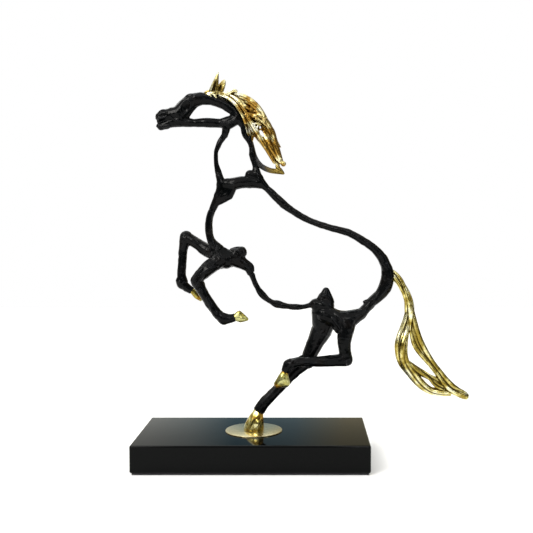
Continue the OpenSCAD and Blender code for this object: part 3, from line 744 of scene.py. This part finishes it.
def makeMane():
    form = nodeCopy("mane", "maneForm")
    tree = treeOf([form])[0]
    dice = random.Random(maneSkin["seed"])
    lines = [smoothLine(rim) for rim in maneRims]
    for line in maneFaces:
        for face in (-1, 1):
            sway = maneSkin["sway"] if face > 0 else 0
            moved = [(x + dice.uniform(-sway, sway), z + dice.uniform(-sway, sway), r) for x, z, r in line]
            lines.append(laidOn(tree, moved, face, maneSkin["sink"]))
    x, z = maneCurl["place"]
    for face in (-1, 1):
        hit = tree.ray_cast(Vector((x * mm, face * 0.1, z * mm)), Vector((0, -face, 0)))[0]
        y = hit.y / mm + face * maneCurl["proud"]
        turns = [math.radians(a) for a in range(0, 361, 20)]
        lines.append([[x + maneCurl["ring"] * math.cos(a), y, z + maneCurl["ring"] * math.sin(a),
                       maneCurl["cord"]] for a in turns])
    core = shrunkCore("mane", maneSkin["coreVoxel"], maneSkin["core"])
    mane = joined("mane_locks", [cords("maneCords", lines), core, ball(*maneBall)])
    remove(form)
    modify(mane, "REMESH", mode="VOXEL", voxel_size=maneSkin["voxel"])
    cut(mane, scoop(maneWindow["place"], maneWindow["size"], maneWindow["turn"]))
    mane = dropCrumbs(voxelSkin(mane, maneSkin["voxel"], maneSkin["smoothing"]))
    smoothShade(markCrests(mane), 180)
    return hand(mane, "mane", maneGold)


lowerLock = [(-0.6, 0, 335, 0.9), (0.6, 0, 328, 1.5), (1.8, 0, 321.5, 1.9), (3.9, 0, 315.6, 2.4),
             (7.3, 0, 310.8, 2.8), (12.5, 0, 307.3, 2.8), (18, 0, 305, 2.6), (23, 0, 304.2, 2.6),
             (28, 0, 303.2, 2.2), (32, 0, 301.3, 0.9)]
lowerLeaf = [(24.3, 0, 310.5, 1.2), (26, 0, 307.4, 2.4), (28.2, 0, 304.8, 2.9), (30.5, 0, 303, 2.1),
             (32.8, 0, 301.2, 0.9)]
lockTwist = {"count": 4, "turns": 0.35, "seed": 3}
lockSkin = {"voxel": 0.35 * mm, "smoothing": 10, "fade": (0.45, 0.8)}     # fades to gold over these shares


def makeLowerLock():
    lock = cords("mane_lower_lock_cords", bundle(lowerLock, **lockTwist) + [smoothLine(lowerLeaf)])
    voxelSkin(lock, lockSkin["voxel"], lockSkin["smoothing"])
    smoothShade(lock, 180)
    low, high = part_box("mane_lower_lock")
    ends = [low.x + share * (high.x - low.x) for share in lockSkin["fade"]]
    return hand(lock, "mane_lower_lock", fadingGold(*ends))


# Strands of the tail, as knots of x, y, z and radius in mm: dock, near and far side, middle
tailStrands = [
    [(142.5, 0, 200, 3.6), (148.5, 0, 194.3, 4.3), (153.2, 0, 188.7, 4.6), (157.3, 0, 181.5, 4.9),
     (160.8, 0, 174, 5.1), (163.4, 0, 166, 5.3), (164.6, 0, 156, 5.3), (165.1, 0, 147, 4.0),
     (165.4, 0, 137, 1.6)],
    [(162.6, 0, 170, 1.4), (162.8, -0.5, 160, 2.7), (161.5, -1, 149, 3.8), (158.8, -1, 137, 5.3),
     (155.7, -2, 125, 6.8), (156.1, -2, 113, 6.9), (159.4, -1, 103, 6.7), (166.6, 0, 93, 6.1),
     (176.5, 1, 80.7, 5.3), (186, 1, 73, 4.4), (195, 1, 70.9, 4.9), (209, 0, 70.6, 3.8)],
    [(164, 0.5, 170, 1.4), (166, 0.5, 160, 3.0), (167.8, 0.5, 148, 4.4), (170.2, 1, 135, 5.7),
     (173.8, 2, 122.5, 6.7), (180.5, 2, 111, 6.0), (189, 1, 100, 4.6), (195.2, 0, 92, 4.7),
     (201.5, 0, 83, 5.4), (209, 0, 75.2, 5.4), (216.5, 0, 70.6, 4.7), (223, 0, 67.6, 4.2),
     (227.2, 0, 65.4, 2.6)],
    [(160, -1, 105, 3.6), (169.5, -2, 97.5, 4.8), (176.5, -2, 92.3, 4.5), (184, -1, 87.8, 3.5),
     (189, 0, 84.8, 4.0), (195, 0, 80.5, 5.3), (203, 0, 76, 4.7)]]
tailCords = [(4, 0.3), (5, 0.35), (4, -0.3), (3, 0.3)]   # cords in each strand, and their twist
tailSkin = {"voxel": 0.42 * mm, "smoothing": 5, "seed": 20, "spread": 0.62, "thick": 0.46}
tailBarbs = [
    [(168.5, -1, 122, 0.8), (171, -1.5, 117.5, 0.9), (175.5, -1.5, 111.5, 0.4)],
    [(161.5, 0, 140, 1.6), (164.5, 0, 138.6, 1.3), (168.5, 0, 139, 1.6)]]


def makeTail():
    lines = [smoothLine(barb) for barb in tailBarbs]
    for i, (strand, (count, turns)) in enumerate(zip(tailStrands, tailCords)):
        lines += bundle(strand, count, turns, tailSkin["seed"] + i, tailSkin["spread"], tailSkin["thick"])
    tail = cords("tail_cords", lines)
    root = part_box("tail")[0].x
    modify(tail, "REMESH", mode="VOXEL", voxel_size=tailSkin["voxel"])
    onAll(tail, bpy.ops.mesh.bisect, plane_co=(root, 0, 0), plane_no=(1, 0, 0), clear_inner=True,
          use_fill=True)
    modify(tail, "SMOOTH", factor=0.5, iterations=tailSkin["smoothing"])
    tail = dropCrumbs(tail)
    smoothShade(markCrests(tail), 60)
    return hand(tail, "tail", tailGold)


# Ears: leaves from base to tip, with width and thickness in mm, hollowed on the outer face
ears = {
    "near": {"base": (-40.6, -3.2, 385.5), "tip": (-34.8, -5.4, 406), "width": 10.4, "thick": 4.8,
             "point": 0.75, "faces": (-0.35, -1, 0.1)},
    "far": {"base": (-36.2, 3.2, 385), "tip": (-29.4, 5.2, 399.6), "width": 9.6, "thick": 5.4,
            "point": 0.0, "faces": (-0.35, -0.8, 0.1)}}
earSkin = {"voxel": 0.3 * mm, "smoothing": 13}
# On a leaf of unit size: the bowl that hollows it, how far its foot is drawn in, its stretch and rise
leaf = {"bowlPlace": (0.02, -0.62, 0), "bowlSize": (0.5, 1.0, 0.62), "foot": 0.35, "stretch": 1.8,
        "rise": 0.1}
forelock = [
    [(-51, -0.6, 384.6, 0.7), (-47, -0.8, 386, 1.6), (-42, -1, 386.6, 2.1), (-37, -0.8, 385.6, 2.3),
     (-32, 0, 384, 1.4)],
    [(-51, 1.2, 384.4, 0.7), (-47, 1.8, 385.6, 1.6), (-42, 2.2, 386, 2.0), (-37, 2.2, 385.2, 2.1),
     (-32, 2, 383.6, 1.3)],
    [(-49.5, -3.2, 382.6, 0.7), (-46, -3.8, 383.6, 1.5), (-41, -4.2, 384.2, 1.9), (-36, -4, 383.6, 1.7)],
    [(-49.5, 3.4, 382.6, 0.7), (-46, 4, 383.6, 1.5), (-41, 4.4, 384.2, 1.9), (-36, 4.2, 383.6, 1.7)],
    [(-41, -4.6, 383.6, 1.2), (-38.5, -5, 381.4, 1.4), (-37, -5, 378.8, 0.7)],
    [(-47, -4.4, 383, 0.8), (-44, -4.9, 382, 1.1), (-42, -5, 380.8, 0.6)],
    [(-42, 4.8, 383.4, 1.1), (-40, 5.1, 381, 1.2), (-39, 5.1, 379, 0.6)],
    [(-36, -3.6, 385, 1.5), (-31, -3.6, 383.6, 1.7), (-25, -3, 380.8, 1.2)],
    [(-36, 3.6, 385, 1.5), (-31, 3.6, 383.6, 1.7), (-25, 3, 380.8, 1.2)]]


def makeEar(name, base, tip, width, thick, point, faces):
    along = Vector(tip) - Vector(base)
    bpy.ops.object.select_all(action="DESELECT")
    bpy.ops.mesh.primitive_uv_sphere_add(segments=32, ring_count=24, radius=0.5)
    ear = bpy.context.object
    ear.name = name
    for corner in ear.data.vertices:
        up = min(max(corner.co.z, 0) * 2, 1)
        corner.co.x *= ((1 - up) / (1 + up)) ** (0.5 * point)
        corner.co.z *= leaf["foot"] if corner.co.z < 0 else 1
    bpy.ops.mesh.primitive_uv_sphere_add(segments=24, ring_count=16, radius=0.5,
                                         location=leaf["bowlPlace"])
    bowl = settle(bpy.context.object)
    bowl.data.transform(Matrix.Diagonal((*leaf["bowlSize"], 1)))
    cut(ear, bowl)
    up = along.normalized()
    outward = (Vector(faces) - Vector(faces).project(up)).normalized()
    side = up.cross(outward)
    turn = Matrix((side * width, -outward * thick, up * along.length * leaf["stretch"])).transposed() * mm
    ear.data.transform(Matrix.Translation((Vector(base) + along * leaf["rise"]) * mm) @ turn.to_4x4())
    return ear


def makeEars():
    leaves = [makeEar(name, **size) for name, size in ears.items()]
    locks = cords("forelock", [smoothLine(line) for line in forelock])
    pad = joined("ears_and_forelock_leaf", [locks] + leaves)
    voxelSkin(pad, earSkin["voxel"], earSkin["smoothing"])
    smoothShade(markCrests(pad), 180)
    return hand(pad, "ears_and_forelock", earGold)


# Hooves: each pulled over balls of x, y, z and radius in mm, then worked with a file to soft facets
hoofs = {
    "left_fore_hoof": [(-18.6, -12, 152, 3.6), (-14, -12, 156.6, 2.5), (-13, -12, 151.2, 4.2),
                       (-5.8, -12, 150.2, 2.0)],
    "right_fore_hoof": [(-65.8, 12, 177.4, 3.1), (-62.6, 12, 173.6, 3.1), (-57, 12, 168.4, 1.8),
                        (-60.6, 12, 174.4, 2.4)],
    "left_hind_hoof": [(33, -12, 93.5, 3.9), (31.8, -12, 88, 5.9), (26, -12, 82, 4.6),
                       (34.4, -12, 83, 4.4)]}
filing = {"voxel": 0.5 * mm, "dentSize": 6 * mm, "dentDepth": 1.2 * mm, "facets": 76, "softening": 7}
standing = {"flutes": 8, "fluteDepth": 0.12, "facets": 150, "lean": 3 * mm, "sole": 0.8 * mm,
            "clearance": 0.05 * mm, "sides": 64}


def fileFacets(hoof, facets):
    ripple(hoof, filing["dentSize"], filing["dentDepth"])
    modify(hoof, "DECIMATE", ratio=facets / len(hoof.data.polygons) / 2)
    modify(hoof, "SUBSURF", subdivision_type="SIMPLE", levels=3, render_levels=3)
    return markCrests(modify(hoof, "SMOOTH", factor=0.5, iterations=filing["softening"]), 12)


def makeHoof(node, balls):
    hoof = joined(node + "_facets", [ball(*place) for place in balls])
    onAll(hoof, bpy.ops.mesh.convex_hull)
    modify(hoof, "REMESH", mode="VOXEL", voxel_size=filing["voxel"])
    smoothShade(fileFacets(hoof, filing["facets"]), 60)
    return hand(hoof, node, raisedGold)


# The standing hoof flares to a flat sole on the disc, and is bored for the stud
def makeStandingHoof():
    low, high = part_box("right_hind_hoof")
    hoof = nodeCopy("right_hind_hoof", "right_hind_hoof_facets")
    onAll(hoof, bpy.ops.mesh.convex_hull)
    modify(hoof, "REMESH", mode="VOXEL", voxel_size=filing["voxel"])
    for corner in hoof.data.vertices:
        up = (corner.co.z - low.z) / (high.z - low.z)
        turn = math.atan2(corner.co.y, corner.co.x - standing["lean"] * up)
        wave = 0.5 + 0.5 * math.cos(standing["flutes"] * turn)
        flute = 1 - standing["fluteDepth"] * wave * (1 - 0.5 * up)
        corner.co.x *= flute
        corner.co.y *= flute
    fileFacets(hoof, standing["facets"])
    for corner in hoof.data.vertices:       # the sole is filed flat again
        if corner.co.z < low.z + standing["sole"]:
            corner.co.z = low.z
    foot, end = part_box("anchor_stud")
    cut(hoof, rod(standing["sides"], (end.x - foot.x) / 2 + standing["clearance"], foot, end))
    smoothShade(hoof, 40)
    return hand(hoof, "right_hind_hoof", hoofGold)


makeMane()
makeLowerLock()
makeTail()
makeEars()
for node, balls in hoofs.items():
    makeHoof(node, balls)
makeStandingHoof()
print("gold laid up")


block = {"corner": 2 * mm, "edge": 1 * mm, "edgeSteps": 4, "boreSides": 96, "counterbore": 11 * mm,
         "bore": 3.5 * mm}
disc = {"sides": 180, "edge": 0.25 * mm}


def bore(piece, radius, bottom, top):
    return cut(piece, rod(block["boreSides"], radius, Vector((0, 0, bottom)), Vector((0, 0, top))))


def makeBlock():
    low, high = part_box("marble_base")
    bpy.ops.object.select_all(action="DESELECT")
    bpy.ops.mesh.primitive_cube_add(size=1, location=(low + high) / 2)
    piece = bpy.context.object
    piece.scale = high - low
    settle(piece)
    piece.name = "granite_block"
    onAll(piece, bpy.ops.mesh.select_all, action="DESELECT")
    for edge in piece.data.edges:       # the four upright corners
        ends = [piece.data.vertices[i].co for i in edge.vertices]
        edge.select = abs(ends[0].z - ends[1].z) > 1 * mm
    bpy.ops.object.mode_set(mode="EDIT")
    bpy.ops.mesh.select_mode(type="EDGE")
    bpy.ops.mesh.bevel(offset=block["corner"], segments=2 * block["edgeSteps"])
    bpy.ops.object.mode_set(mode="OBJECT")
    modify(piece, "BEVEL", width=block["edge"], segments=block["edgeSteps"], limit_method="ANGLE")
    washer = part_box("anchor_washer")[1].z
    bore(piece, block["counterbore"], low.z - 5 * mm, washer)
    bore(piece, block["bore"], low.z, high.z + 5 * mm)
    smoothShade(piece, 30)
    return hand(piece, "marble_base", stone)


def makeDisc():
    low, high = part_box("brass_disc")
    piece = rod(disc["sides"], (high.x - low.x) / 2, low, high)
    piece.name = "rolled_disc"
    modify(piece, "BEVEL", width=disc["edge"], segments=3, limit_method="ANGLE")
    bore(piece, block["bore"], low.z - 5 * mm, high.z + 5 * mm)
    smoothShade(piece, 30)
    return hand(piece, "brass_disc", brass)


makeBlock()
makeDisc()
hidden = {"base_mat": foam, "anchor_stud": zinc, "anchor_washer": zinc, "anchor_nut": zinc}
for node, material in hidden.items():
    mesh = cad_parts[node].data
    mesh.materials.clear()
    mesh.materials.append(material)
print("base made")

# Studio: strengths of the white room in front and behind, and the skylight's width and tilt in degrees
stage = {"floor": "#fafafa", "floorSize": 3.0, "white": 1.0, "roomFront": 0.12, "roomBack": 1.15,
         "sun": 2.8, "sunAngle": 110, "sunTilt": (12, -10, 0)}
# Place in metres, tilt down from level in radians, lens and film width in mm
view = {"place": (0.0554, -0.863, 0.252), "tilt": 0.055, "lens": 55.56, "film": 36, "shift": -0.0741}


def makeStage():
    bpy.ops.object.select_all(action="DESELECT")
    bpy.ops.mesh.primitive_plane_add(size=stage["floorSize"], location=(0, 0, 0))
    floor = settle(bpy.context.object)
    floor.name = "floor"
    material, tree, place = startMaterial("paleFloor")
    shader = addNode(tree, "BsdfPrincipled", {"Base Color": paint(stage["floor"]), "Roughness": 0.7})
    floor.data.materials.append(endMaterial(material, tree, shader))
    world = bpy.data.worlds.new("studio")
    bpy.context.scene.world = world
    world.use_nodes = True
    tree = world.node_tree
    tree.nodes.clear()
    seen = addNode(tree, "LightPath").outputs["Is Camera Ray"]
    way = addNode(tree, "TexCoord").outputs["Generated"]
    ways = addNode(tree, "SeparateXYZ", {"Vector": way})
    glow = addNode(tree, "MapRange", {
        "Value": ways.outputs["Y"], "From Min": -0.3, "From Max": 0.9, "To Min": stage["roomFront"],
        "To Max": stage["roomBack"]})
    across = addNode(tree, "MapRange", {"Value": ways.outputs["X"], "From Min": -0.24, "From Max": 0.12})
    tint = addNode(tree, "ValToRGB", {"Fac": across}, [
        (0.0, "#e2e0d8"), (0.25, "#b4bcba"), (0.42, "#6b8792"), (0.65, "#7f949b"), (0.85, "#a79f84")])
    room = addNode(tree, "Background", {"Color": tint, "Strength": glow})
    white = addNode(tree, "Background", {"Color": (1, 1, 1, 1), "Strength": stage["white"]})
    mixed = addNode(tree, "MixShader", {"Fac": seen, 1: room, 2: white})
    addNode(tree, "OutputWorld", {"Surface": mixed})


# Soft boxes: name, place, aim, width, height, power in watts, colour
softBoxes = [
    ("key", (-0.8, -1.1, 1.2), (0, 0, 0.2), 0.6, 0.6, 17, "#fffcf6"),
    ("glint", (0.35, -1.2, 1.0), (0, 0, 0.2), 0.14, 0.5, 2.4, "#ffffff"),
    ("fill", (1.3, -0.8, 0.7), (0.05, 0, 0.2), 0.3, 0.9, 3, "#eef4ff"),
    ("back", (-0.4, 1.4, 1.2), (0.05, 0, 0.15), 1.4, 0.6, 6, "#f4f6f4")]


def makeLights():
    sun = bpy.data.lights.new("skylight", "SUN")
    sun.energy = stage["sun"]
    sun.angle = math.radians(stage["sunAngle"])
    lamp = bpy.data.objects.new("skylight", sun)
    lamp.rotation_euler = [math.radians(a) for a in stage["sunTilt"]]
    bpy.context.collection.objects.link(lamp)
    for name, place, aim, width, height, power, colour in softBoxes:
        light = bpy.data.lights.new(name, "AREA")
        light.shape = "RECTANGLE"
        light.size = width
        light.size_y = height
        light.energy = power
        light.color = paint(colour)[:3]
        lamp = bpy.data.objects.new(name, light)
        lamp.location = place
        lamp.rotation_euler = (Vector(aim) - Vector(place)).to_track_quat("-Z", "Y").to_euler()
        lamp.visible_camera = False
        bpy.context.collection.objects.link(lamp)


def makeCamera():
    camera = bpy.data.objects.new("camera", bpy.data.cameras.new("camera"))
    camera.location = view["place"]
    camera.rotation_euler = (math.pi / 2 - view["tilt"], 0, 0)
    camera.data.lens = view["lens"]
    camera.data.sensor_width = view["film"]
    camera.data.shift_x = view["shift"]
    bpy.context.collection.objects.link(camera)
    bpy.context.scene.camera = camera


bpy.context.scene.view_settings.view_transform = "Standard"
makeStage()
makeLights()
makeCamera()
